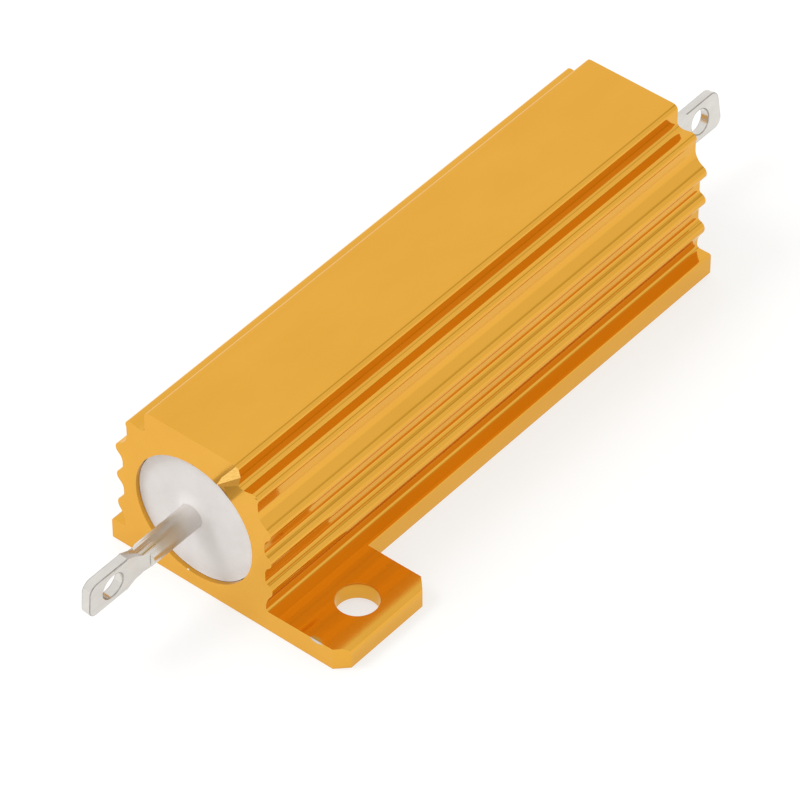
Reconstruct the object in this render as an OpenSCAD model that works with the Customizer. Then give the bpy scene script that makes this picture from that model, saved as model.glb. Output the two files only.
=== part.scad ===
// Aluminium housed wirewound power resistor, 50 W size.
// The housing stands on its base. X runs along the housing, Z is up, and the origin is
// the middle of the base's underside. Sizes are in millimetres.

/* [Housing] */
// Length of the extruded housing
body_l = 50; // [40:0.5:65]
// Height of the flat top above the base
body_h = 14.65; // [13.9:0.05:15.6]
// Width of the flat top
top_w = 8.7; // [7.5:0.1:10]
// Corner radius along the edges of the flat top
top_edge_r = 0.5; // [0.2:0.05:0.9]
// Height of the shoulder beside the flat top
shoulder_z = 12.75; // [12.2:0.05:13.2]
// Width across the two shoulders
shoulder_w = 12.4; // [12:0.1:13]
// Radius of the bead along each shoulder's edge
shoulder_bead_r = 0.45; // [0.3:0.05:0.6]
// Radius of the fillet between the flat top's side and the shoulder
shoulder_fillet_r = 0.62; // [0.3:0.02:0.8]
// Width of the housing between its ribs
wall_w = 13.1; // [12.8:0.1:13.8]

/* [Ribs] */
// Number of cooling ribs on each side
rib_count = 3; // [2:1:3]
// Height of the lowest rib's centre above the base
rib_first_z = 4.08; // [3.8:0.02:4.4]
// Distance from one rib to the next
rib_pitch = 2.76; // [2.5:0.02:2.9]
// Radius of a rib's round tip
rib_r = 0.76; // [0.6:0.02:0.9]
// Width across the tips of the ribs
rib_w = 14.52; // [14.1:0.02:14.8]
// Radius of the fillet at a rib's foot
rib_fillet_r = 0.3; // [0.1:0.02:0.4]
// Radius of the hollow sweep from the top rib up to the shoulder
sweep_r = 1.6; // [1.3:0.05:1.8]

/* [Base and lugs] */
// Thickness of the base flange
flange_t = 1.9; // [1.6:0.05:2.4]
// Width of the base where the flange is milled away
base_w = 16; // [15.4:0.1:17]
// Width of the flange across the two lugs
flange_w = 27.5; // [25:0.1:30]
// Length of each lug along the housing
lug_l = 9.6; // [8.5:0.1:12]
// Bevel at the lug corner that is flush with the housing's end
lug_end_bevel = 0.95; // [0.4:0.05:1.3]
// Bevel at the lug's other corner
lug_side_bevel = 0.8; // [0.4:0.05:1.3]
// Radius along the flange's upper outer edge
flange_edge_r = 0.6; // [0.3:0.05:0.8]
// Radius of the fillet where the side wall meets the flange
foot_fillet_r = 0.4; // [0.2:0.05:0.6]
// Diameter of each mounting hole
hole_d = 3.3; // [2.5:0.1:3.6]
// Bevel that takes the burr off each mounting hole on the underside
hole_bevel = 0.4; // [0.1:0.05:0.6]
// Distance from the housing's end face to the mounting hole's axis
hole_end_gap = 4.95; // [4.2:0.05:5.2]
// Distance from the flange's outer edge to the mounting hole's axis
hole_side_gap = 2.8; // [2.5:0.05:3.4]

/* [Bore and stake nick] */
// Diameter of the bore through the housing
bore_d = 10.9; // [10.4:0.1:11.1]
// Height of the bore's axis above the base
bore_z = 6.7; // [6.6:0.05:6.8]
// Depth of the chisel nick that stakes the insulation at the near end
nick_depth = 0.45; // [0.2:0.05:0.8]
// Width of the nick's sloping side on the end face
nick_w = 1.3; // [0.8:0.1:1.6]
// Width of the nick's steep side on the end face
nick_steep_w = 0.35; // [0.2:0.05:0.6]
// Angle of the nick away from upright, as seen from the near end
nick_angle = 28; // [24:1:34]

/* [Element] */
// Offset of the whole element along the housing from its middle
element_shift = -0.45; // [-0.8:0.05:0.8]
// Depth of each white end face below the housing's end
seal_recess = 0.45; // [0.2:0.05:1]
// Clearance of the cast insulation all round
cast_gap = 0.02; // [0.01:0.01:0.05]
// Height of the cement's rise around each pin
meniscus_h = 0.3; // [0.1:0.05:0.5]
// Width of the cement's rise around each pin
meniscus_w = 0.5; // [0.2:0.05:0.8]
// Distance from the housing's end face to each end of the ceramic core
core_gap = 5; // [4:0.5:8]
// Diameter of the ceramic core under the winding
core_d = 6.6; // [6:0.1:7]
// Length of core that each end cap covers
cap_l = 4; // [3:0.1:5]
// Wall of the pressed end caps
cap_wall = 0.3; // [0.2:0.05:0.5]
// Number of turns of resistance wire
turns = 24; // [16:1:26]
// Diameter of the resistance wire
wire_d = 0.5; // [0.3:0.05:0.6]
// Length of winding that lies over each end cap
wire_overlap = 1.2; // [0.8:0.1:2]

/* [Terminals] */
// Length of terminal that stands out of each end of the housing
terminal_reach = 10.7; // [10.3:0.1:14]
// Diameter of the round pin
pin_d = 2; // [1.6:0.05:2.2]
// Diameter of the pin's welded head
head_d = 3.2; // [2.6:0.1:4]
// Thickness of the pin's welded head
head_t = 0.6; // [0.4:0.1:1]
// Distance from the housing's end face to where the pin is pressed flat
press_gap = 4.6; // [4:0.1:6]
// Length of the slope from round pin to flat blade
press_l = 1.3; // [1:0.1:2]
// Length of round pin left between the press mark and where the blade widens
neck_l = 0.7; // [0.4:0.1:1.2]
// Length over which the blade widens
flare_l = 1.5; // [0.8:0.1:2]
// Thickness of the blade
blade_t = 0.8; // [0.5:0.05:1]
// Width of the blade
blade_w = 3.2; // [2.8:0.1:3.8]
// Corner radius at the blade's tip
blade_corner_r = 0.8; // [0.3:0.05:1.2]
// Diameter of the wire hole in the blade
eye_d = 2.1; // [1.4:0.1:2.3]
// Distance from the blade's tip to the middle of the wire hole
eye_gap = 2.45; // [1.8:0.05:2.7]
// Sideways offset of the near pin from the bore's axis
near_shift_y = 0.2; // [-0.6:0.05:0.6]
// Upward offset of the near pin from the bore's axis
near_shift_z = 0.3; // [-0.6:0.05:0.6]
// Turn of the near blade away from upright, in degrees
near_turn = 4; // [-12:1:12]
// Sideways offset of the far pin from the bore's axis
far_shift_y = -0.4; // [-0.7:0.05:0.7]
// Upward offset of the far pin from the bore's axis
far_shift_z = -0.85; // [-0.9:0.05:0.6]
// Turn of the far blade away from upright, in degrees
far_turn = -9; // [-12:1:12]

/* [Hidden] */

gold = "#E8AE48";
cement = "#DDD6D0";
steatite = "#E9E4D6";
nichrome = "#8D8A86";
plated_steel = "#A9ABAC";
tinned = "#C8C8C5";

$fn = 96;
eps = 0.01;            // overlap that keeps cutters clear of coincident faces
bore_r = bore_d / 2;
wall_y = wall_w / 2;
rib_y = rib_w / 2 - rib_r;                          // centre line of each rib
rib_top_z = rib_first_z + (rib_count - 1) * rib_pitch;
shoulder_lip = 0.12;                                // the bead stands this far out of the wall
neck_y = shoulder_w / 2 - shoulder_lip;
sweep_share = 0.62;                                 // share of the sweep's radius above the rib
sweep_z = rib_top_z + rib_r + sweep_r * sweep_share;
sweep_end_y = rib_y + rib_r * 0.75;                 // where the sweep runs out over the top rib
hole_x = body_l / 2 - hole_end_gap;
hole_y = flange_w / 2 - hole_side_gap;

insulation_l = body_l - 2 * seal_recess;
core_l = body_l - 2 * core_gap;
core_r = core_d / 2;
core_neck_r = core_r - cap_wall - cast_gap;         // the caps sit flush with the core
cap_end_x = core_l / 2 + cap_wall + cast_gap;       // outer face of each end cap
cap_mouth_x = core_l / 2 - cap_l;
wire_r = wire_d / 2;
wire_steps = 14;                                    // straight pieces in one turn
wire_sides = 6;
coil_l = core_l - 2 * (cap_l - wire_overlap);
coil_sag = 1 / cos(180 / wire_steps);               // keeps the straight pieces off the core
coil_r = (core_r + wire_r + cast_gap) * coil_sag;
pocket_r = coil_r + wire_r + cast_gap;              // space in the insulation for the element
pin_r = pin_d / 2;
pin_end_x = body_l / 2 + press_gap;
tip_x = body_l / 2 + terminal_reach;
flare_x = pin_end_x + neck_l;                       // where the blade starts to widen
blade_x = flare_x + flare_l;                        // where it has its full width
press_half = pin_r * 0.7;                           // half thickness where the press mark starts
neck_half = pin_r * 0.9;                            // half height where the blade starts to widen
near_shift = [near_shift_y, near_shift_z];
far_shift = [far_shift_y, far_shift_z];
nick_inset = 0.4;                                   // the wedge starts this far inside the bore
nick_overrun = 0.15;                                // and ends this far past the top block

// ---------- Housing ----------

// One round rib with its foot blended into the wall above and below, in the section plane
module rib(z) {
    inner_y = min(rib_y, wall_y) - rib_r / 2;
    blend_y = wall_y + rib_fillet_r;
    lift = sqrt(pow(rib_r + rib_fillet_r, 2) - pow(blend_y - rib_y, 2));
    translate([0, z]) {
        translate([rib_y, 0]) circle(rib_r);
        for (flip = [0, 1])
            mirror([0, flip])
                difference() {
                    polygon([[inner_y, 0], [rib_y, 0], [blend_y, lift], [inner_y, lift]]);
                    translate([blend_y, lift]) circle(rib_fillet_r);
                }
    }
}

// A square corner block with a quarter circle taken out of it: a hollow fillet
module hollow_fillet(y, z, r) {
    difference() {
        translate([y - eps, z - eps]) square(r + eps);
        translate([y + r, z + r]) circle(r);
    }
}

// The block that carries the flat top, with its two edges rounded
module top_block() {
    half = top_w / 2;
    square([half - top_edge_r, body_h]);
    square([half, body_h - top_edge_r]);
    translate([half - top_edge_r, body_h - top_edge_r]) circle(top_edge_r);
    hollow_fillet(half, shoulder_z, shoulder_fillet_r);
}

// The shoulder, its bead and the sweep down to the top rib
module shoulder() {
    bead_y = shoulder_w / 2 - shoulder_bead_r;
    square([bead_y, shoulder_z]);
    square([neck_y, shoulder_z - shoulder_bead_r]);
    translate([bead_y, shoulder_z - shoulder_bead_r]) circle(shoulder_bead_r);
    difference() {
        translate([neck_y - eps, rib_top_z])
            square([sweep_end_y - neck_y, sweep_z - rib_top_z]);
        translate([neck_y + sweep_r, sweep_z]) circle(sweep_r);
    }
}

// The base flange at its full width, before it is milled
module flange() {
    half = flange_w / 2;
    square([half - flange_edge_r, flange_t]);
    square([half, flange_t - flange_edge_r]);
    translate([half - flange_edge_r, flange_t - flange_edge_r]) circle(flange_edge_r);
    hollow_fillet(wall_y, flange_t, foot_fillet_r);
}

module half_section() {
    top_block();
    shoulder();
    square([wall_y, rib_top_z]);
    for (i = [0 : rib_count - 1]) rib(rib_first_z + i * rib_pitch);
    flange();
}

// Stands a section drawn in Y and Z along the X axis
module along_x(length) {
    rotate([90, 0, 90]) linear_extrude(height = length, center = true) children();
}

// Takes a bevel with legs "leg" off a square corner at [x, y]
module bevel_cut(x, y, leg) {
    translate([x, y, -1]) rotate(45)
        linear_extrude(height = flange_t + 2) square(leg * sqrt(2), center = true);
}

// Cuts the +Y side of the flange back to the base, all but the lug at the +X end
module flange_cut() {
    reach = flange_w / 2 - base_w / 2 + 1;
    translate([-body_l / 2 - 1, base_w / 2, -1]) cube([body_l - lug_l + 1, reach, flange_t + 2]);
    bevel_cut(body_l / 2, flange_w / 2, lug_end_bevel);
    bevel_cut(body_l / 2 - lug_l, flange_w / 2, lug_side_bevel);
}

// A through hole with the burr taken off its lower edge
module mounting_hole() {
    translate([0, 0, -1]) cylinder(h = flange_t + 2, d = hole_d);
    translate([0, 0, -eps])
        cylinder(h = hole_bevel + eps, r1 = hole_d / 2 + hole_bevel + eps, r2 = hole_d / 2);
}

// The wedge that the chisel left, running out from the bore to the side of the top block
module nick() {
    reach = body_h - bore_z;
    intersection() {
        translate([-body_l / 2, 0, bore_z])
            rotate([nick_angle, 0, 0])
                translate([0, 0, bore_r - nick_inset])
                    linear_extrude(height = reach)
                        polygon([[-eps, nick_steep_w], [nick_depth, 0], [-eps, -nick_w]]);
        translate([-body_l / 2 - 1, -top_w / 2 - nick_overrun, bore_z])
            cube([2, top_w / 2 + nick_overrun, reach + 1]);
    }
}

module housing() {
    color(gold)
        difference() {
            along_x(body_l) {
                half_section();
                mirror([1, 0]) half_section();
            }
            along_x(body_l + 2) translate([0, bore_z]) circle(bore_r);
            flange_cut();
            rotate([0, 0, 180]) flange_cut();
            for (end = [-1, 1]) translate([end * hole_x, end * hole_y, 0]) mounting_hole();
            nick();
        }
}

// ---------- Element ----------
// Everything below is drawn about the bore's axis, with X along it. place() puts it there.

module place() {
    translate([element_shift, 0, bore_z]) children();
}

// A solid cylinder along X from x0 to x1
module rod(x0, x1, r) {
    translate([x0, 0, 0]) rotate([0, 90, 0]) cylinder(h = x1 - x0, r = r);
}

// Turns a module that is drawn for the +X end round to the -X end when near is true
module at_end(near) {
    if (near) mirror([1, 0, 0]) children();
    else children();
}

// The room that one terminal takes up inside the cement, drawn for the +X end
module terminal_room(shift, reach) {
    translate([0, shift[0], shift[1]]) {
        rod(0, cap_end_x + head_t + cast_gap, head_d / 2 + cast_gap);
        rod(0, reach, pin_r + cast_gap);
    }
}

// The cement's low rise around one pin, drawn for the +X end with its foot at x
module meniscus(shift, x) {
    foot_r = pin_r + meniscus_w;
    top_r = pin_r + meniscus_w / 4;
    translate([x - eps, shift[0], shift[1]]) rotate([0, 90, 0])
        cylinder(h = meniscus_h + eps, r1 = foot_r, r2 = top_r);
}

module insulation() {
    half = insulation_l / 2;
    color(cement)
        difference() {
            union() {
                translate([0, 0, bore_z]) rod(-half, half, bore_r - cast_gap);
                place() {
                    at_end(true) meniscus(near_shift, half + element_shift);
                    at_end(false) meniscus(far_shift, half - element_shift);
                }
            }
            place() {
                rod(-cap_end_x - cast_gap, cap_end_x + cast_gap, core_r + cast_gap);
                rod(-coil_l / 2 - wire_r - cast_gap, coil_l / 2 + wire_r + cast_gap, pocket_r);
                at_end(true) terminal_room(near_shift, body_l);
                at_end(false) terminal_room(far_shift, body_l);
            }
        }
}

module core() {
    color(steatite) place() {
        rod(-core_l / 2, core_l / 2, core_neck_r);
        rod(-cap_mouth_x + cast_gap, cap_mouth_x - cast_gap, core_r);
    }
}

// A pressed cup over one end of the core, drawn for the +X end
module cap() {
    color(plated_steel)
        difference() {
            rod(cap_mouth_x, cap_end_x, core_r);
            rod(cap_mouth_x - 1, core_l / 2 + cast_gap, core_r - cap_wall);
        }
}

// The resistance wire: a ring of points is carried along the helix and skinned
module winding() {
    steps = turns * wire_steps;
    points = [
        for (i = [0 : steps], j = [0 : wire_sides - 1])
            let (a = 360 * i / wire_steps,
                 b = 360 * j / wire_sides,
                 r = coil_r - wire_r * cos(b),
                 x = coil_l * (i / steps - 0.5) + wire_r * sin(b))
                [x, r * cos(a), r * sin(a)]
    ];
    skin = [
        for (i = [0 : steps - 1], j = [0 : wire_sides - 1])
            let (k = (j + 1) % wire_sides,
                 p = i * wire_sides, q = p + wire_sides)
                each [[p + j, p + k, q + j], [p + k, q + k, q + j]]
    ];
    first = [for (j = [wire_sides - 1 : -1 : 0]) j];
    last = [for (j = [0 : wire_sides - 1]) steps * wire_sides + j];
    color(nichrome) place() polyhedron(points, concat(skin, [first, last]));
}

// Outline of the blade from the side, X against Z, with the wire hole in it
module blade_outline() {
    half = blade_w / 2;
    difference() {
        union() {
            polygon([[flare_x, -neck_half], [blade_x, -half], [blade_x, half],
                     [flare_x, neck_half]]);
            translate([blade_x - eps, -half])
                square([tip_x - blade_corner_r - blade_x + eps, blade_w]);
            translate([blade_x, blade_corner_r - half])
                square([tip_x - blade_x, blade_w - 2 * blade_corner_r]);
            for (side = [-1, 1])
                translate([tip_x - blade_corner_r, side * (half - blade_corner_r)])
                    circle(blade_corner_r);
        }
        translate([tip_x - eye_gap, 0]) circle(eye_d / 2);
    }
}

// Outline of the pressed end from above, X against Y: the slope down to the flat blade
module press_outline() {
    t = blade_t / 2;
    slope_x = pin_end_x + press_l;
    polygon([[pin_end_x - eps, -press_half], [slope_x, -t], [tip_x + 1, -t],
             [tip_x + 1, t], [slope_x, t], [pin_end_x - eps, press_half]]);
}

// One terminal, drawn for the +X end about its own pin's axis
module terminal(shift, turn) {
    color(tinned)
        translate([0, shift[0], shift[1]]) rotate([turn, 0, 0]) {
            rod(cap_end_x, cap_end_x + head_t, head_d / 2);
            rod(cap_end_x, pin_end_x, pin_r);
            intersection() {
                translate([0, 0, -blade_w]) linear_extrude(height = 2 * blade_w) press_outline();
                union() {
                    rod(pin_end_x - eps, blade_x, pin_r);
                    rotate([90, 0, 0])
                        linear_extrude(height = pin_d + 1, center = true) blade_outline();
                }
            }
        }
}

module cap_near() { place() at_end(true) cap(); }
module cap_far() { place() at_end(false) cap(); }
module terminal_near() { place() at_end(true) terminal(near_shift, near_turn); }
module terminal_far() { place() at_end(false) terminal(far_shift, far_turn); }

housing();
insulation();
core();
winding();
cap_near();
cap_far();
terminal_near();
terminal_far();
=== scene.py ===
import math

import bmesh
import bpy
from mathutils import Matrix, Vector, noise


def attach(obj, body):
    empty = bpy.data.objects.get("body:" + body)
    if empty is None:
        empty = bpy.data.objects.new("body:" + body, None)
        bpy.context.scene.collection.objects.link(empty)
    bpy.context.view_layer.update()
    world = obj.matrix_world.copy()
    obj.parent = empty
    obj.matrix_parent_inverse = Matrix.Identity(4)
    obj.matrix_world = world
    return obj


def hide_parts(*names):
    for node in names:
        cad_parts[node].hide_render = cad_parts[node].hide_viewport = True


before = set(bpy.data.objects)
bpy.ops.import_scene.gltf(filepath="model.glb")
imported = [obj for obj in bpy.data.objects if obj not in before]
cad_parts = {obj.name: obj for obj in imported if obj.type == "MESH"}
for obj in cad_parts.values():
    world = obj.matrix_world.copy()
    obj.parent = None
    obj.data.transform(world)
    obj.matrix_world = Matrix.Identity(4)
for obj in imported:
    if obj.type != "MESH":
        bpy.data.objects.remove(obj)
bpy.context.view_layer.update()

# ---------- Ceramic core ----------
# A round rod of fired steatite, ground to size. It carries the winding and keeps its shape
# when the wire runs hot. It sits along the bore with its ends turned down for the caps.
mm = 0.001


def feed(value, socket):
    """Links a socket where the value is another socket, or else sets the value on it."""
    if isinstance(value, bpy.types.NodeSocket):
        socket.id_data.links.new(value, socket)
    else:
        socket.default_value = value


def maker(tree):
    """Gives a function that adds a shader node, from its values in order and its settings by name."""
    def add(kind, values=(), pick=0, **settings):
        node = tree.nodes.new("ShaderNode" + kind)
        for key, value in settings.items():
            setattr(node, key, value)
        for value, socket in zip(values, [s for s in node.inputs if s.enabled]):
            if value is not None:
                feed(value, socket)
        outputs = node.outputs if isinstance(pick, str) else [s for s in node.outputs if s.enabled]
        return outputs[pick]
    return add


def shader(name, colour, metallic, roughness):
    """A material with one Principled shader; gives it with its node maker and the shader's inputs."""
    material = bpy.data.materials.new(name)
    material.use_nodes = True
    skin = material.node_tree.nodes["Principled BSDF"].inputs
    skin["Base Color"].default_value = (*colour, 1)
    skin["Metallic"].default_value = metallic
    skin["Roughness"].default_value = roughness
    return material, maker(material.node_tree), skin


def grain(add, size, stretch=(1, 1, 1), detail=3.0, roughness=0.55):
    """Noise with lumps of a given size in metres, drawn out along each axis by stretch."""
    place = add("TexCoord", pick="Object")
    moved = add("Mapping", (place, None, None, tuple(1 / (size * s) for s in stretch)))
    return add("TexNoise", (moved, 1.0, detail, roughness))


def between(add, value, low, high):
    """Carries a noise value, most of which lies between 0.3 and 0.7, over to a range."""
    return add("MapRange", (value, 0.3, 0.7, low, high))


def tinted(add, value, first, second):
    """Mixes two colours by a value from 0 to 1."""
    pair = [c if isinstance(c, bpy.types.NodeSocket) else (*c, 1) for c in (first, second)]
    return add("Mix", (value, *pair), data_type="RGBA")


def mottled(add, value, first, second):
    """Mixes two colours by a noise value."""
    return tinted(add, between(add, value, 0, 1), first, second)


def relief(add, skin, height, depth, strength=1.0):
    """Raises the surface by a height value, up to a depth in metres."""
    feed(add("Bump", (strength, depth, None, height)), skin["Normal"])


def coated(node, material):
    """Gives a solid that stays in view its finish."""
    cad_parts[node].data.materials.clear()
    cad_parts[node].data.materials.append(material)


steatite, add, skin = shader("fired_steatite", (0.81, 0.77, 0.67), 0.0, 0.6)
speckle = grain(add, 0.25 * mm, detail=4)
feed(mottled(add, speckle, (0.84, 0.80, 0.71), (0.76, 0.71, 0.60)), skin["Base Color"])
relief(add, skin, speckle, 0.02 * mm)
coated("core", steatite)

# ---------- Winding ----------
# Nickel-chromium resistance wire, wound on the core in one even layer and welded to the caps.
# A little room is left between the two, so that the pieces don't cut into each other.
element_shift = -0.45 * mm
bore_height = 6.7 * mm
core_radius = 3.3 * mm
cast_gap = 0.02 * mm
wire_diameter = 0.5 * mm
coil_turns = 24.0
coil_length = 34.4 * mm
points_per_turn = 40
points_round_wire = 12


def placed(name, data):
    """A new object in the scene that holds a mesh, a lamp or a camera."""
    piece = bpy.data.objects.new(name, data)
    bpy.context.scene.collection.objects.link(piece)
    return piece


def applied(piece, modifier):
    """Makes a modifier's result the piece's plain mesh, and takes the modifier away."""
    ready = piece.evaluated_get(bpy.context.evaluated_depsgraph_get())
    result = bpy.data.meshes.new_from_object(ready)
    piece.modifiers.remove(modifier)
    piece.data = result


def grown(name, mesh, tree, values):
    """Runs a node tree on a mesh, and gives an object that holds the result as a plain mesh."""
    piece = placed(name, mesh)
    modifier = piece.modifiers.new(tree.name, "NODES")
    modifier.node_group = tree
    for socket in tree.interface.items_tree:
        if socket.item_type == "SOCKET" and socket.in_out == "INPUT" and socket.name in values:
            modifier[socket.identifier] = values[socket.name]
    applied(piece, modifier)
    piece.data.name = name
    return piece


def new_tree(name, sizes):
    """A geometry tree with an input for each size and one for the material.

    Gives the tree, its inputs, and functions that add a node, a sum, a point, a move and the end.
    """
    tree = bpy.data.node_groups.new(name, "GeometryNodeTree")
    tree.interface.new_socket("Geometry", in_out="INPUT", socket_type="NodeSocketGeometry")
    tree.interface.new_socket("Geometry", in_out="OUTPUT", socket_type="NodeSocketGeometry")
    for label in sizes:
        tree.interface.new_socket(label, in_out="INPUT", socket_type="NodeSocketFloat")
    tree.interface.new_socket("Material", in_out="INPUT", socket_type="NodeSocketMaterial")
    given = tree.nodes.new("NodeGroupInput").outputs

    def put(kind, settings=(), **inputs):
        node = tree.nodes.new(kind)
        for key, value in dict(settings).items():
            setattr(node, key, value)
        for key, value in inputs.items():
            socket = [s for s in node.inputs if s.enabled and s.name.replace(" ", "_") == key][0]
            for one in value if isinstance(value, list) else [value]:
                feed(one, socket)
        return node.outputs[0]

    def maths(operation, first, second):
        node = tree.nodes.new("ShaderNodeMath")
        node.operation = operation
        feed(first, node.inputs[0])
        feed(second, node.inputs[1])
        return node.outputs[0]

    def spot(x=0.0, y=0.0, z=0.0):
        return put("ShaderNodeCombineXYZ", X=x, Y=y, Z=z)

    def moved(geometry, x=0.0, y=0.0, z=0.0, turn=(0, 0, 0)):
        return put("GeometryNodeTransform", Geometry=geometry, Translation=spot(x, y, z), Rotation=turn)

    def ends(geometry):
        real = put("GeometryNodeRealizeInstances", Geometry=geometry)
        finished = put("GeometryNodeSetMaterial", Geometry=real, Material=given["Material"])
        tree.links.new(finished, tree.nodes.new("NodeGroupOutput").inputs[0])

    return tree, given, put, maths, spot, moved, ends


nichrome, add, skin = shader("resistance_wire", (0.30, 0.29, 0.27), 1.0, 0.35)
oxide = grain(add, 0.4 * mm)
feed(mottled(add, oxide, (0.33, 0.32, 0.30), (0.22, 0.20, 0.17)), skin["Base Color"])
feed(between(add, oxide, 0.28, 0.45), skin["Roughness"])

coil_tree, given, put, maths, spot, moved, ends = new_tree("wound_coil", [
    "Turns", "Coil Radius", "Coil Length", "Wire Diameter", "Axis Height", "Shift"])
spiral = put("GeometryNodeCurveSpiral", Resolution=points_per_turn, Rotations=given["Turns"],
             Start_Radius=given["Coil Radius"], End_Radius=given["Coil Radius"], Height=given["Coil Length"])
middled = moved(spiral, z=maths("MULTIPLY", given["Coil Length"], -0.5))
along = moved(middled, x=given["Shift"], z=given["Axis Height"], turn=(0, math.pi / 2, 0))
round_wire = put("GeometryNodeCurvePrimitiveCircle", Resolution=points_round_wire,
                 Radius=maths("MULTIPLY", given["Wire Diameter"], 0.5))
ends(put("GeometryNodeCurveToMesh", Curve=along, Profile_Curve=round_wire, Fill_Caps=True))
winding = grown("wound_resistance_wire", bpy.data.meshes.new("coil"), coil_tree, {
    "Turns": coil_turns, "Coil Radius": core_radius + wire_diameter / 2 + cast_gap,
    "Coil Length": coil_length, "Wire Diameter": wire_diameter, "Axis Height": bore_height,
    "Shift": element_shift, "Material": nichrome})
for face in winding.data.polygons:
    face.use_smooth = True
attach(winding, "root")
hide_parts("winding")

# ---------- End caps ----------
# Cups pressed from thin steel strip, nickel plated and pushed over the core's turned-down ends.
# The wire and the pin are welded to them.
plated, add, skin = shader("plated_steel", (0.42, 0.42, 0.43), 1.0, 0.3)
drawn = grain(add, 0.3 * mm, stretch=(6, 1, 1))
feed(mottled(add, drawn, (0.45, 0.45, 0.46), (0.36, 0.36, 0.37)), skin["Base Color"])
feed(between(add, drawn, 0.22, 0.4), skin["Roughness"])
for node in ("cap_near", "cap_far"):
    coated(node, plated)

# ---------- Terminals ----------
# Tinned steel pins, each with a head that is welded to its cap. The outer end is pressed flat
# into a blade, punched with a wire hole and cut by shearing. Its rounded edges are painted darker
# than the tin as painted dark reflections, and the round shank carries painted shade, darker and warmer than
# the blade.
# A film of the filling's cement stays on the pin where it comes out of the housing.
blade_length = 4.45 * mm
blade_sharp = math.radians(28)
deburr_width = 0.075 * mm
film_fades = (24.7 * mm, 27.0 * mm)
# Where the pressing starts; over this span the painted shade on the shank fades out.
pressing_and_shade_fade = (28.9 * mm, 29.9 * mm)
along_blade = 0.5
same_point = 0.0001 * mm


def opened(mesh, flat):
    """A form made from a mesh, with its doubles merged and its flat faces joined, up to an angle."""
    form = bmesh.new()
    form.from_mesh(mesh)
    bmesh.ops.remove_doubles(form, verts=form.verts, dist=same_point)
    bmesh.ops.dissolve_limit(form, angle_limit=math.radians(flat), verts=form.verts, edges=form.edges)
    return form


def closed(form, name):
    """Ends a form as a new mesh."""
    mesh = bpy.data.meshes.new(name)
    form.to_mesh(mesh)
    form.free()
    return mesh


def bevelled(form, edges, width, segments=2, clamp=True, finish=0):
    """Rounds some edges to a width; clamp keeps rounds that meet from running into each other."""
    bmesh.ops.bevel(form, geom=edges, offset=width, offset_type="OFFSET", segments=segments,
                    profile=0.5, affect="EDGES", clamp_overlap=clamp, material=finish)


def deburred(node, name):
    """A copy of a pin's mesh with its sharp edges rounded; those along the blade are finish 1, painted dark
    as reflection lines.
    """
    form = opened(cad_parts[node].data, flat=0.5)
    blade_start = max(abs(v.co.x) for v in form.verts) - blade_length
    blade_edges_painted_dark = [e for e in form.edges if e.calc_face_angle(0) > blade_sharp
                     and min(abs(v.co.x) for v in e.verts) > blade_start
                     and abs(e.verts[0].co.y - e.verts[1].co.y) < along_blade * e.calc_length()]
    bevelled(form, blade_edges_painted_dark, deburr_width, clamp=False, finish=1)
    others = [e for e in form.edges if e.calc_face_angle(0) > blade_sharp
              and max(abs(v.co.x) for v in e.verts) <= blade_start]
    bevelled(form, others, deburr_width)
    return closed(form, name)


def smoothed(piece, sharp=40):
    """Smooth shading that keeps flat faces flat, and breaks at sharp edges and where finishes meet."""
    for face in piece.data.polygons:
        face.use_smooth = True
    piece.data.set_sharp_from_angle(angle=math.radians(sharp))
    finishes = {}
    for face in piece.data.polygons:
        for key in face.edge_keys:
            finishes.setdefault(key, set()).add(face.material_index)
    for edge in piece.data.edges:
        if len(finishes[edge.key]) > 1:
            edge.use_edge_sharp = True
    even = piece.modifiers.new("even", "WEIGHTED_NORMAL")
    even.keep_sharp = True
    applied(piece, even)


tinned, add, skin = shader("tinned_pin", (0.70, 0.675, 0.635), 1.0, 0.2)
runs = grain(add, 0.9 * mm, stretch=(2.5, 1, 1), detail=2)
scuffs = grain(add, 0.15 * mm, stretch=(5, 1, 1), detail=3)
smears = grain(add, 0.5 * mm, detail=2)
outward = add("Math", (add("SeparateXYZ", (add("TexCoord", pick="Object"),)),), operation="ABSOLUTE")
pressed_blade_vs_painted_shade = add("MapRange", (outward, *pressing_and_shade_fade, 0.0, 1.0), interpolation_type="SMOOTHSTEP")
ragged = add("Math", (smears, -0.8 * mm, outward), operation="MULTIPLY_ADD")
film = add("MapRange", (ragged, *film_fades, 1.0, 0.0), interpolation_type="SMOOTHSTEP")
tin = mottled(add, runs, (0.72, 0.695, 0.655), (0.665, 0.64, 0.605))
# Painted shade: the round shank is darker and warmer than the pressed blade.
tin = tinted(add, pressed_blade_vs_painted_shade, (0.57, 0.54, 0.485), tin)
feed(tinted(add, film, tin, (0.60, 0.57, 0.555)), skin["Base Color"])
worn = add("Mix", (pressed_blade_vs_painted_shade, 0.34, between(add, scuffs, 0.17, 0.25)), data_type="FLOAT")
feed(add("Mix", (film, worn, 0.6), data_type="FLOAT"), skin["Roughness"])
feed(add("Math", (1.0, film), operation="SUBTRACT"), skin["Metallic"])
relief(add, skin, add("Math", (scuffs, 0.06, runs), operation="MULTIPLY_ADD"), 0.005 * mm)

# Painted dark reflections: the darker finish on the blade's rounded edges.
dark_edge_paint, add, skin = shader("sheared_edge", (0.42, 0.40, 0.375), 1.0, 0.3)
streaks = grain(add, 0.25 * mm, stretch=(2, 1, 1), detail=3)
feed(mottled(add, streaks, (0.52, 0.50, 0.47), (0.33, 0.31, 0.285)), skin["Base Color"])
relief(add, skin, streaks, 0.01 * mm)

for node, name in (("terminal_near", "pressed_pin_near"), ("terminal_far", "pressed_pin_far")):
    pin = placed(name, deburred(node, name))
    pin.data.materials.append(tinned)
    pin.data.materials.append(dark_edge_paint)
    smoothed(pin)
    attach(pin, "root")
    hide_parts(node)

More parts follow.
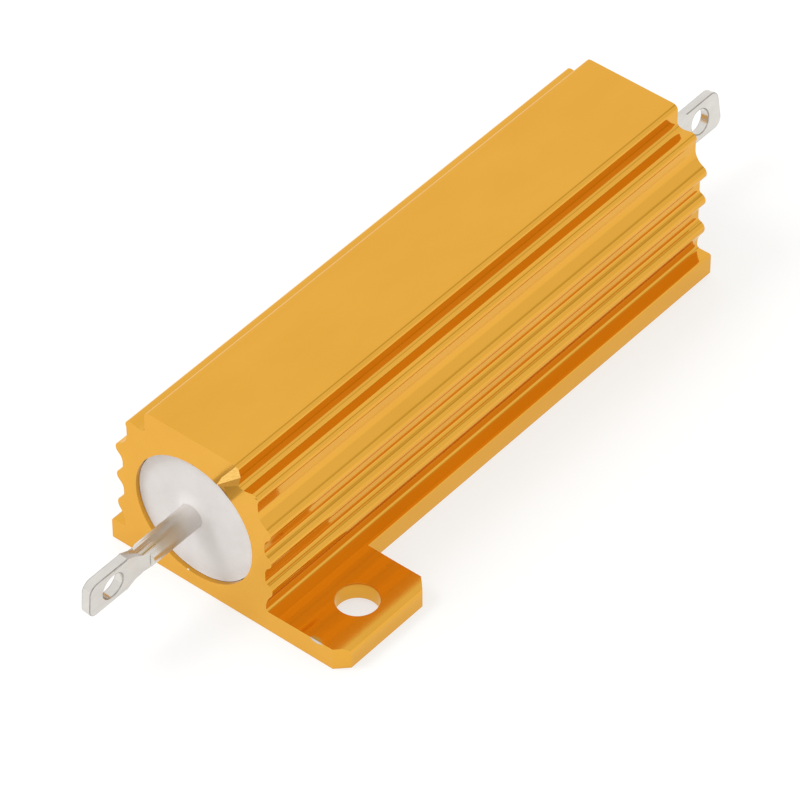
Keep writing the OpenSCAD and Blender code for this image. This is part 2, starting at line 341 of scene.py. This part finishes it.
# ---------- Cement filling ----------
# White silicone cement, cast round the wound core through the bore. It sets matt, a little
# below the housing's ends, and creeps up each pin and the wall of the bore.
bore_diameter = 10.9 * mm
housing_length = 50 * mm
seal_recess = 0.45 * mm
pin_radius = 1.0 * mm
pin_clearance = 0.01 * mm
head_radius = 1.6 * mm
cap_wall = 20.32 * mm + cast_gap
head_end = 20.92 * mm + cast_gap
pocket_radius = 3.95 * mm
pocket_end = 17.47 * mm
pin_rise, pin_rise_width = 0.5 * mm, 0.4 * mm
wall_rise, wall_rise_width = 0.10 * mm, 0.18 * mm
calm_rim = 0.5 * mm
swells_per_metre, swell_height = 450, 0.05 * mm
ripples_per_metre, ripple_height = 1500, 0.012 * mm
face_rings = 33
points_round = 128
near_pin = Vector((0.2 * mm, bore_height + 0.3 * mm))
far_pin = Vector((-0.4 * mm, bore_height - 0.85 * mm))
axis = Vector((0, bore_height))
fill_radius = bore_diameter / 2 - cast_gap


def ring(x, centre, radius):
    """A ring of points square to the bore."""
    around = [2 * math.pi * k / points_round for k in range(points_round)]
    return [Vector((x, centre[0] + radius * math.cos(a), centre[1] + radius * math.sin(a))) for a in around]


def set_face(end, pin):
    """The set surface at one end, from the wall of the bore in to the pin."""
    rings = []
    for k in range(face_rings):
        inward = 0.5 - 0.5 * math.cos(math.pi * k / (face_rings - 1))
        radius = fill_radius + (pin_radius + pin_clearance - fill_radius) * inward
        row = ring(0, axis.lerp(pin, inward), radius)
        for p in row:
            off_pin = (Vector((p.y, p.z)) - pin).length - pin_radius
            off_wall = fill_radius - (Vector((p.y, p.z)) - axis).length
            climb = pin_rise * math.exp(-off_pin / pin_rise_width)
            climb += wall_rise * math.exp(-off_wall / wall_rise_width)
            swell = noise.noise(p * swells_per_metre + Vector((end * 7, 0, 0))) * swell_height
            ripple = noise.noise(p * ripples_per_metre + Vector((end * 3, 5, 0))) * ripple_height
            uneven = (swell + ripple) * min(1, off_wall / calm_rim)
            p.x = end * (housing_length / 2 - seal_recess + climb + uneven)
        rings.append(row)
    return rings


def hollow(end, pin):
    """The rings round one end of the element, from the pin in to the winding, a cast gap off it."""
    outline = [(head_end, pin, pin_radius), (head_end, pin, head_radius), (cap_wall, pin, head_radius),
               (cap_wall, axis, core_radius), (pocket_end, axis, core_radius),
               (pocket_end, axis, pocket_radius)]
    return [ring(element_shift + end * x, centre, radius + cast_gap) for x, centre, radius in outline]


rings = set_face(-1, near_pin) + hollow(-1, near_pin)
rings += reversed(set_face(1, far_pin) + hollow(1, far_pin))
form = bmesh.new()
grid = [[form.verts.new(p) for p in row] for row in rings]
for row, following in zip(grid, grid[1:] + grid[:1]):
    for k in range(points_round):
        beside = (k + 1) % points_round
        form.faces.new((row[k], row[beside], following[beside], following[k]))
bmesh.ops.recalc_face_normals(form, faces=form.faces)
filling = placed("cement_filling", closed(form, "cement_filling"))
smoothed(filling, sharp=50)

cement, add, skin = shader("set_cement", (0.72, 0.68, 0.65), 0.0, 0.62)
cloudy = grain(add, 2.2 * mm, detail=3)
pores = grain(add, 0.16 * mm, detail=3)
feed(mottled(add, cloudy, (0.745, 0.715, 0.712), (0.695, 0.662, 0.656)), skin["Base Color"])
feed(between(add, pores, 0.5, 0.75), skin["Roughness"])
relief(add, skin, pores, 0.02 * mm, 0.7)
filling.data.materials.append(cement)
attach(filling, "root")
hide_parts("insulation")

# ---------- Housing ----------
# One aluminium extrusion, sawn to length, bored through and milled down to two lugs, which are
# drilled. It is deburred and anodised gold, and staked with a chisel once the filling is in.
# The sizes of its section and of what is machined are in mm and degrees.
top_height, top_width, top_round = 14.65, 8.7, 0.47
shoulder_width, crown_height, crown_inset, crown_radius = 12.4, 12.78, 0.5, 0.9
bead_radius, neck = 0.43, 6.13
valley_fillet, valley_run, valley_fall, valley_rise = 0.31, 0.33, 14, 11.5
valley_step, valley_lift = 0.08, 0.01
wall, sweep_radius, sweep_tilt = 6.66, 1.4, 28
rib_heights, rib_reach = (4.05, 6.82, 9.53), (7.3, 7.27, 7.26)
rib_radius, rib_fillet = 0.57, 0.3
under_radius, under_fillet = (0.9, 0.65, 0.65), (2.1, 0.95, 0.9)
foot_fillet, flange_thickness, brim = 0.28, 1.86, 1.94
flange_round, flange_turn, brim_inset, brim_round = 0.6, 55, 0.45, 0.12
base_width, flange_width = 16.0, 27.5
machined = {"Base Width": base_width, "Flange Width": flange_width, "Lug Length": 9.6,
            "End Bevel": 0.95, "Side Bevel": 0.8, "Hole Diameter": 3.3, "Hole Bevel": 0.4,
            "Hole X": 20.05, "Hole Y": 10.95}
milled_round, milled_sharp = 0.2, math.radians(60)
ledge_low, ledge_high = 1.5, 2.2
arris_round, arris_sharp, arris_low, arris_along = 0.045, math.radians(30), 2, 0.5


def arc(y, z, radius, start, stop, step=7.5):
    """Points round part of a circle in the section."""
    count = max(2, math.ceil(abs(stop - start) / step))
    around = [math.radians(start + (stop - start) * k / count) for k in range(count + 1)]
    return [(y + radius * math.cos(a), z + radius * math.sin(a)) for a in around]


def rib(z, reach, under, scoop, top):
    """One rib's outline upwards: the scoop under it, its nose, and the blend to the wall above."""
    blend = wall + rib_fillet
    hang = wall + scoop - reach + under
    drop = math.sqrt((under + scoop) ** 2 - hang ** 2)
    slant = math.degrees(math.atan2(drop, hang))
    centre = reach - rib_radius
    lift = math.sqrt((rib_radius + rib_fillet) ** 2 - (blend - centre) ** 2)
    lean = math.degrees(math.atan2(lift, blend - centre))
    line = arc(wall + scoop, z - drop, scoop, 180, 180 - slant)
    line += arc(reach - under, z, under, -slant, 0)[:-1]
    line += arc(centre, z, rib_radius, 0, 90 - sweep_tilt if top else lean)
    if not top:
        line += arc(blend, z + lift, rib_fillet, 180 + lean, 180)
    return line


def half_outline():
    """The section's outline from the middle of the base round to the middle of the top."""
    edge = flange_width / 2
    line = [(0, 0), (edge, 0)]
    line += arc(edge - flange_round, brim - flange_round, flange_round, 0, flange_turn)
    line += arc(edge - brim_inset, brim - brim_round, brim_round, flange_turn, 90)
    line += arc(wall + foot_fillet, flange_thickness + foot_fillet, foot_fillet, 270, 180)
    for z, *shape in zip(rib_heights, rib_reach, under_radius, under_fillet):
        line += rib(z, *shape, top=z == rib_heights[-1])
    facing = math.radians(90 - sweep_tilt)
    foot = neck + sweep_radius * (1 - math.cos(facing))
    low = line[-1][1] + (line[-1][0] - foot) / math.tan(facing)
    sweep_z = low + sweep_radius * math.sin(facing)
    line += arc(neck + sweep_radius, sweep_z, sweep_radius, 270 - sweep_tilt, 180)
    bead_y = shoulder_width / 2 - bead_radius
    bead_z = crown_height - bead_radius
    tuck = math.degrees(math.acos((neck - bead_y) / bead_radius))
    line += arc(bead_y, bead_z, bead_radius, -tuck, 90)
    crown = shoulder_width / 2 - crown_inset
    line += arc(crown, crown_height - crown_radius, crown_radius, 90, 90 + valley_rise, step=3)
    side = top_width / 2
    fall, rise = math.radians(valley_fall), math.radians(valley_rise)
    valley_y = side + valley_fillet * (1 - math.sin(fall)) + valley_run
    valley_z = crown_height - math.tan(rise) * (crown - valley_y)
    line += [(valley_y + valley_step, valley_z + valley_step * math.tan(rise)),
             (valley_y, valley_z + valley_lift),
             (valley_y - valley_step, valley_z + valley_step * math.tan(fall))]
    fillet_z = valley_z + math.tan(fall) * valley_run + valley_fillet * math.cos(fall)
    line += arc(side + valley_fillet, fillet_z, valley_fillet, 270 - valley_fall, 180)
    line += arc(side - top_round, top_height - top_round, top_round, 0, 90)
    return line + [(0, top_height)]


half = half_outline()
outline = half + [(-y, z) for y, z in reversed(half[1:-1])]
section = bpy.data.meshes.new("section")
section.from_pydata([(-housing_length / 2, y * mm, z * mm) for y, z in outline], [],
                    [range(len(outline))[::-1]])

margin = 1 * mm
touching = 0.001 * mm
points_round_bore, points_round_hole = 180, 96
cutter_height = 10 * mm
drill_overrun = 1.1
housing_tree, given, put, maths, spot, moved, ends = new_tree("extruded_and_machined", [
    "Length", "Bore Diameter", "Bore Height", *machined])
pushed = put("GeometryNodeExtrudeMesh", Mesh=given["Geometry"], Offset=spot(1.0),
             Offset_Scale=given["Length"], Individual=False)
back = put("GeometryNodeFlipFaces", Mesh=given["Geometry"])
bar = put("GeometryNodeMergeByDistance", Geometry=put("GeometryNodeJoinGeometry", Geometry=[pushed, back]),
          Distance=touching)
drill = put("GeometryNodeMeshCylinder", Vertices=points_round_bore,
            Radius=maths("MULTIPLY", given["Bore Diameter"], 0.5),
            Depth=maths("MULTIPLY", given["Length"], drill_overrun))
bore = moved(drill, z=given["Bore Height"], turn=(0, math.pi / 2, 0))
run = maths("SUBTRACT", maths("ADD", given["Length"], margin), given["Lug Length"])
run_shift = maths("MULTIPLY", maths("SUBTRACT", margin, given["Lug Length"]), 0.5)
cutter = put("GeometryNodeMeshCube", Size=spot(run, given["Base Width"], cutter_height))
mill = moved(cutter, maths("SUBTRACT", run_shift, margin), given["Base Width"])
half_length = maths("MULTIPLY", given["Length"], 0.5)
half_flange = maths("MULTIPLY", given["Flange Width"], 0.5)
lug_side = maths("SUBTRACT", half_length, given["Lug Length"])
corners = []
for bevel, x in (("End Bevel", half_length), ("Side Bevel", lug_side)):
    side = maths("MULTIPLY", given[bevel], math.sqrt(2))
    block = put("GeometryNodeMeshCube", Size=spot(side, side, cutter_height))
    corners.append(moved(block, x, half_flange, turn=(0, 0, math.pi / 4)))
hole_radius = maths("MULTIPLY", given["Hole Diameter"], 0.5)
hole_drill = put("GeometryNodeMeshCylinder", Vertices=points_round_hole, Radius=hole_radius,
                 Depth=cutter_height)
hole = moved(hole_drill, given["Hole X"], given["Hole Y"])
burr_height = maths("MULTIPLY", given["Hole Bevel"], 2)
burr_cone = put("GeometryNodeMeshCone", Vertices=points_round_hole,
                Radius_Bottom=maths("ADD", hole_radius, burr_height), Radius_Top=hole_radius,
                Depth=burr_height)
burr = moved(burr_cone, given["Hole X"], given["Hole Y"], maths("MULTIPLY", given["Hole Bevel"], -1))
cuts = [mill, *corners, hole, burr]
turned = [moved(cut, turn=(0, 0, math.pi)) for cut in cuts]
ends(put("GeometryNodeMeshBoolean", {"operation": "DIFFERENCE", "solver": "EXACT"},
         Mesh_1=bar, Mesh_2=[bore, *cuts, *turned], Self_Intersection=True))


def marked(add, colour, where, size, mark):
    """Lays one small worn spot over a colour: its middle, its half sizes and its own colour."""
    place = add("VectorMath", (add("TexCoord", pick="Object"), Vector(where) * mm), operation="SUBTRACT")
    spread = add("VectorMath", (place, tuple(1 / (r * mm) for r in size)), operation="MULTIPLY")
    away = add("VectorMath", (spread,), pick="Value", operation="LENGTH")
    ragged = add("Math", (grain(add, 0.15 * mm, detail=2), 1.2, away), operation="MULTIPLY_ADD")
    return tinted(add, add("MapRange", (ragged, 1.25, 1.6, 1.0, 0.0)), colour, mark)


gold, add, skin = shader("anodised_gold", (0.80, 0.41, 0.058), 1.0, 0.13)
skin["Specular Tint"].default_value = (1.0, 0.95, 0.82, 1)
die_lines = grain(add, 0.08 * mm, stretch=(400, 1, 1), detail=3, roughness=0.6)
patches = grain(add, 4 * mm, stretch=(2, 1, 1), detail=3)
tone = mottled(add, patches, (0.81, 0.416, 0.060), (0.785, 0.396, 0.054))
for where, size, mark in (((-24.97, -11.3, 1.9), (0.35, 0.62, 0.25), (0.62, 0.60, 0.60)),
                          ((-25, 0.72, 1.33), (0.14, 0.12, 0.12), (1.0, 0.93, 0.72)),
                          ((-25, -0.15, 12.13), (0.2, 0.16, 0.1), (0.30, 0.15, 0.02)),
                          ((-25, -6.0, 12.55), (0.2, 0.12, 0.12), (0.45, 0.25, 0.03))):
    tone = marked(add, tone, where, size, mark)
feed(tone, skin["Base Color"])
feed(between(add, die_lines, 0.085, 0.115), skin["Roughness"])
relief(add, skin, die_lines, 0.0004 * mm)

housing = grown("extruded_housing", section, housing_tree, {
    "Length": housing_length, "Bore Diameter": bore_diameter, "Bore Height": bore_height,
    "Material": gold, **{label: size * mm for label, size in machined.items()}})

# The node tree leaves an empty first finish behind, so gold is made the first and only one.
housing.data.materials.clear()
housing.data.materials.append(gold)
for face in housing.data.polygons:
    face.material_index = 0

form = opened(housing.data, flat=0.3)
milled = [e for e in form.edges if e.calc_face_angle(0) > milled_sharp
          and all(ledge_low * mm < v.co.z < ledge_high * mm
                  and abs(abs(v.co.y) - base_width / 2 * mm) < touching for v in e.verts)]
bevelled(form, milled, milled_round * mm, segments=3)
arrises = [e for e in form.edges if e.calc_face_angle(0) > arris_sharp
           and (min(v.co.z for v in e.verts) < arris_low * mm
                or abs((e.verts[0].co - e.verts[1].co).x) < arris_along * mm)]
bevelled(form, arrises, arris_round * mm)
form.to_mesh(housing.data)
form.free()

# Painted highlight: the chisel's steep face is given a brighter, paler gold.
painted_highlight_gold, add, skin = shader("burnished_gold", (0.93, 0.56, 0.13), 1.0, 0.12)
highlight_grain = grain(add, 0.08 * mm, stretch=(1, 3, 3))
feed(mottled(add, highlight_grain, (1.0, 0.62, 0.16), (0.86, 0.49, 0.09)), skin["Base Color"])
relief(add, skin, highlight_grain, 0.004 * mm)
# Painted shade: the chisel's sloping face is given a darker gold.
painted_shade_gold, add, skin = shader("bruised_gold", (0.50, 0.24, 0.03), 1.0, 0.25)
shade_grain = grain(add, 0.12 * mm, stretch=(1, 2, 1))
feed(mottled(add, shade_grain, (0.54, 0.265, 0.036), (0.45, 0.21, 0.026)), skin["Base Color"])
relief(add, skin, shade_grain, 0.006 * mm)

# The chisel's wedge: the depth and place of its tip at two points, and where its steep and its
# sloping face leave the housing's end. Its faces run on past the end, to cut it cleanly.
tip = [(0.07, -2.2, 11.48), (0.32, -4.62, 13.6)]
steep = [(-2.2, 11.4), (-4.45, 14.9)]
slope = [(-3.45, 10.96), (-4.7, 13.02)]
run_past = 0.5
end_face = Vector((-housing_length / 2 / mm, 0, 0))
form = bmesh.new()
rows = []
for point, *edges in zip(tip, steep, slope):
    row = [Vector(point)]
    row += [Vector((0, *edge)) + (Vector((0, *edge)) - row[0]) * run_past for edge in edges]
    rows.append([form.verts.new((p + end_face) * mm) for p in row])
near, far = rows
for loop in (near, far[::-1], (near[0], far[0], far[1]), (near[0], far[1], near[1]),
             (near[0], near[2], far[2]), (near[0], far[2], far[0]),
             (near[1], far[1], far[2]), (near[1], far[2], near[2])):
    form.faces.new(loop)
bmesh.ops.recalc_face_normals(form, faces=form.faces)
# Faces through the sloping edge take finish 1, the painted shade; the steep face keeps finish 0, the painted
# highlight.
for face in form.faces:
    face.material_index = int(near[2] in face.verts or far[2] in face.verts)
wedge = placed("chisel", closed(form, "chisel"))
wedge.data.materials.append(painted_highlight_gold)
wedge.data.materials.append(painted_shade_gold)
stake = housing.modifiers.new("stake", "BOOLEAN")
stake.operation = "DIFFERENCE"
stake.solver = "EXACT"
stake.object = wedge
stake.material_mode = "TRANSFER"
applied(housing, stake)
bpy.data.objects.remove(wedge)
smoothed(housing, sharp=35)
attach(housing, "root")
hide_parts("housing")

# ---------- Table, light and camera ----------
# A pale table under a white tent, with one broad lamp high on the left for the soft shadows.
# A narrow olive seam of the tent gives the gold its dark lines.
table_half = 2.0
table_drop = 0.02 * mm
table = placed("table", bpy.data.meshes.new("table"))
table.data.from_pydata([(x * table_half, y * table_half, -table_drop)
                        for x, y in ((-1, -1), (1, -1), (1, 1), (-1, 1))], [], [(0, 1, 2, 3)])
paper = bpy.data.materials.new("table_paper")
paper.use_nodes = True
paper.node_tree.nodes.remove(paper.node_tree.nodes["Principled BSDF"])
add = maker(paper.node_tree)
seen = add("LightPath", pick="Is Camera Ray")
for ray in ("Is Glossy Ray", "Is Transmission Ray"):
    seen = add("Math", (seen, add("LightPath", pick=ray)), operation="MAXIMUM")
plain = add("BsdfDiffuse", ((0.8, 0.8, 0.8, 1),))
shaded = add("BsdfDiffuse", ((0.35, 0.35, 0.35, 1),))
bright = add("AddShader", (shaded, add("Emission", ((1, 1, 1, 1), 0.65))))
feed(add("MixShader", (seen, plain, bright)), paper.node_tree.nodes["Material Output"].inputs["Surface"])
table.data.materials.append(paper)

dim_side = 0.93
olive = (0.58, 0.54, 0.25)
seam_facing = (0, 0.94, 0.342)
seam_edge, seam_end = 0.03, 0.16
world = bpy.data.worlds.new("tent")
bpy.context.scene.world = world
world.use_nodes = True
add = maker(world.node_tree)
sky = world.node_tree.nodes["Background"].inputs
way = add("TexCoord", pick="Generated")
camera_ray = add("LightPath", pick="Is Camera Ray")
sideways = add("VectorMath", (way, (0, 1, 0)), pick="Value", operation="DOT_PRODUCT")
strength = add("MapRange", (sideways, -0.3, 0.4, dim_side, 1.0), interpolation_type="SMOOTHSTEP")
feed(add("Math", (strength, camera_ray), operation="MAXIMUM"), sky["Strength"])
seam = add("VectorMath", (way, seam_facing), pick="Value", operation="DOT_PRODUCT")
off_seam = add("Math", (seam,), operation="ABSOLUTE")
clear = add("MapRange", (off_seam, seam_edge, seam_end, 0.0, 1.0), interpolation_type="SMOOTHSTEP")
clear = add("Math", (clear, camera_ray), operation="MAXIMUM")
feed(tinted(add, clear, olive, (1, 1, 1)), sky["Color"])

lamp = bpy.data.lights.new("broad_lamp", "AREA")
lamp.shape = "DISK"
lamp.size = 0.25
lamp.energy = 1.2
stand = placed("broad_lamp", lamp)
stand.location = (-0.25, 0.25, 0.45)
stand.rotation_euler = (-stand.location).to_track_quat("-Z", "Y").to_euler()
stand.visible_glossy = False

# The camera's place: its distance from the middle of the base in metres, its shifts in mm.
turn, rise, roll = math.radians(39.847), math.radians(43.515), math.radians(-0.174)
distance, sidestep, lift = 0.420465, 1.387, 0.089
towards = Vector((-math.cos(rise) * math.cos(turn), -math.cos(rise) * math.sin(turn), math.sin(rise)))
across = (-towards).cross(Vector((0, 0, 1))).normalized()
upward = across.cross(-towards)
right = math.cos(roll) * across + math.sin(roll) * upward
up = -math.sin(roll) * across + math.cos(roll) * upward
lens = bpy.data.cameras.new("camera")
lens.lens = 255.717
lens.sensor_width = 36
lens.clip_start, lens.clip_end = 0.01, 20
camera = placed("camera", lens)
camera_place = towards * distance - right * sidestep * mm + up * lift * mm
camera.matrix_world = Matrix.Translation(camera_place) @ Matrix((right, up, towards)).transposed().to_4x4()
bpy.context.scene.camera = camera
bpy.context.scene.view_settings.view_transform = "Standard"
